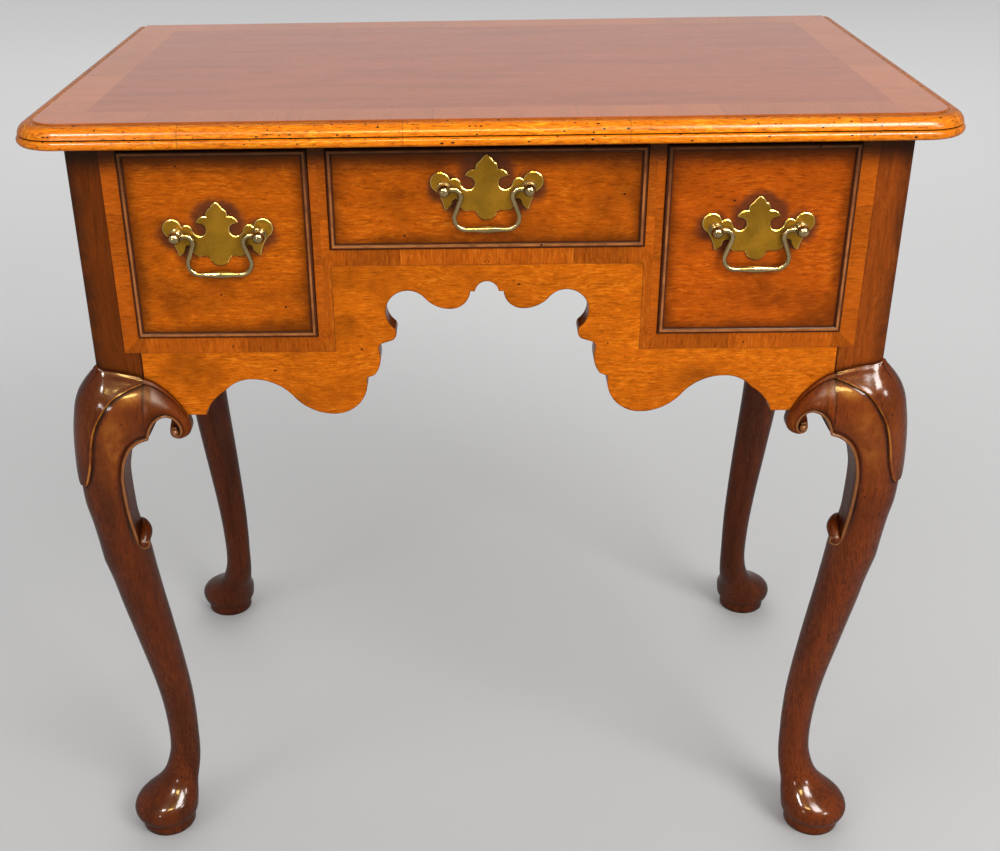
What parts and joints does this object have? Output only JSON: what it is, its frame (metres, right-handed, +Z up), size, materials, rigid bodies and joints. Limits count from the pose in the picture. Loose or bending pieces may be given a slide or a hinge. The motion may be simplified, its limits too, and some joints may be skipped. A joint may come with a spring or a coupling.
{
  "type": "lowboy",
  "caption": "Small walnut dressing table on cabriole legs, with a shaped apron, drawers with brass bail handles, and a crossbanded top.",
  "frame": {"origin": "on the floor, under the middle of the whole piece", "axes": "+X to the right across the front, +Y from the front to the back, +Z up"},
  "size_m": [0.728, 0.4635, 0.714],
  "materials": {
    "walnut_solid": "dark red-brown walnut, waxed, glossy on the knees",
    "walnut_veneer": "warm figured walnut veneer, waxed",
    "top_veneer": "figured walnut veneer, polished, grain left to right",
    "crossbanding": "walnut crossbanding, polished",
    "walnut_moulding": "cross-grained walnut, bright golden brown, polished",
    "walnut_panel": "plain walnut, waxed",
    "oak_lining": "unfinished old oak",
    "pine_carcass": "unfinished old pine",
    "brass": "old brass, dull in the hollows and bright on the edges"
  },
  "bodies": {
    "case": {"top_core": "pine_carcass", "top_field_veneer": "top_veneer", "top_crossbanding": "crossbanding", "top_edge_moulding": "walnut_moulding", "front_apron": "walnut_solid", "front_apron_veneer": "walnut_veneer", "front_crossbanding": "crossbanding", "front_top_rail": "walnut_solid", "front_divider_right": "walnut_veneer", "front_divider_left": "walnut_veneer", "side_panel_right": "walnut_panel", "side_panel_left": "walnut_panel", "back_panel": "pine_carcass", "partition_right": "pine_carcass", "partition_left": "pine_carcass", "right_drawer_runners": "oak_lining", "left_drawer_runners": "oak_lining", "centre_drawer_runners": "oak_lining", "drawer_guides": "oak_lining", "drawer_kickers": "oak_lining", "drawer_stops": "oak_lining", "top_glue_blocks": "pine_carcass", "leg_rear_right": "walnut_solid", "leg_rear_left": "walnut_solid", "leg_front_right": "walnut_solid", "leg_front_left": "walnut_solid", "knee_brackets_front_right": "walnut_solid", "knee_brackets_front_left": "walnut_solid", "knee_brackets_rear": "walnut_solid"},
    "drawer_left": {"drawer_left_cockbeading": "walnut_solid", "drawer_left_backplate": "brass", "drawer_left_handle_posts": "brass", "drawer_left_handle_nuts": "brass", "drawer_left_front": "walnut_veneer", "drawer_left_side_left": "oak_lining", "drawer_left_side_right": "oak_lining", "drawer_left_back": "oak_lining", "drawer_left_bottom": "oak_lining"},
    "bail_left": {"drawer_left_bail": "brass"},
    "drawer_centre": {"drawer_centre_cockbeading": "walnut_solid", "drawer_centre_backplate": "brass", "drawer_centre_handle_posts": "brass", "drawer_centre_handle_nuts": "brass", "drawer_centre_front": "walnut_veneer", "drawer_centre_side_left": "oak_lining", "drawer_centre_side_right": "oak_lining", "drawer_centre_back": "oak_lining", "drawer_centre_bottom": "oak_lining"},
    "bail_centre": {"drawer_centre_bail": "brass"},
    "drawer_right": {"drawer_right_cockbeading": "walnut_solid", "drawer_right_backplate": "brass", "drawer_right_handle_posts": "brass", "drawer_right_handle_nuts": "brass", "drawer_right_front": "walnut_veneer", "drawer_right_side_left": "oak_lining", "drawer_right_side_right": "oak_lining", "drawer_right_back": "oak_lining", "drawer_right_bottom": "oak_lining"},
    "bail_right": {"drawer_right_bail": "brass"}
  },
  "joints": [
    {"name": "drawer_left_slide", "type": "slide", "parent": "case", "child": "drawer_left", "axis": [0, -1, 0], "range_m": [0, 0.25]},
    {"name": "bail_left_swing", "type": "hinge", "parent": "drawer_left", "child": "bail_left", "pos_m": [-0.21485, -0.2029, 0.62], "axis": [-1, 0, 0], "range_deg": [-3, 165]},
    {"name": "drawer_centre_slide", "type": "slide", "parent": "case", "child": "drawer_centre", "axis": [0, -1, 0], "range_m": [0, 0.25]},
    {"name": "bail_centre_swing", "type": "hinge", "parent": "drawer_centre", "child": "bail_centre", "pos_m": [0, -0.2029, 0.6555], "axis": [-1, 0, 0], "range_deg": [-3, 165]},
    {"name": "drawer_right_slide", "type": "slide", "parent": "case", "child": "drawer_right", "axis": [0, -1, 0], "range_m": [0, 0.25]},
    {"name": "bail_right_swing", "type": "hinge", "parent": "drawer_right", "child": "bail_right", "pos_m": [0.21485, -0.2029, 0.62], "axis": [-1, 0, 0], "range_deg": [-3, 165]}
  ]
}
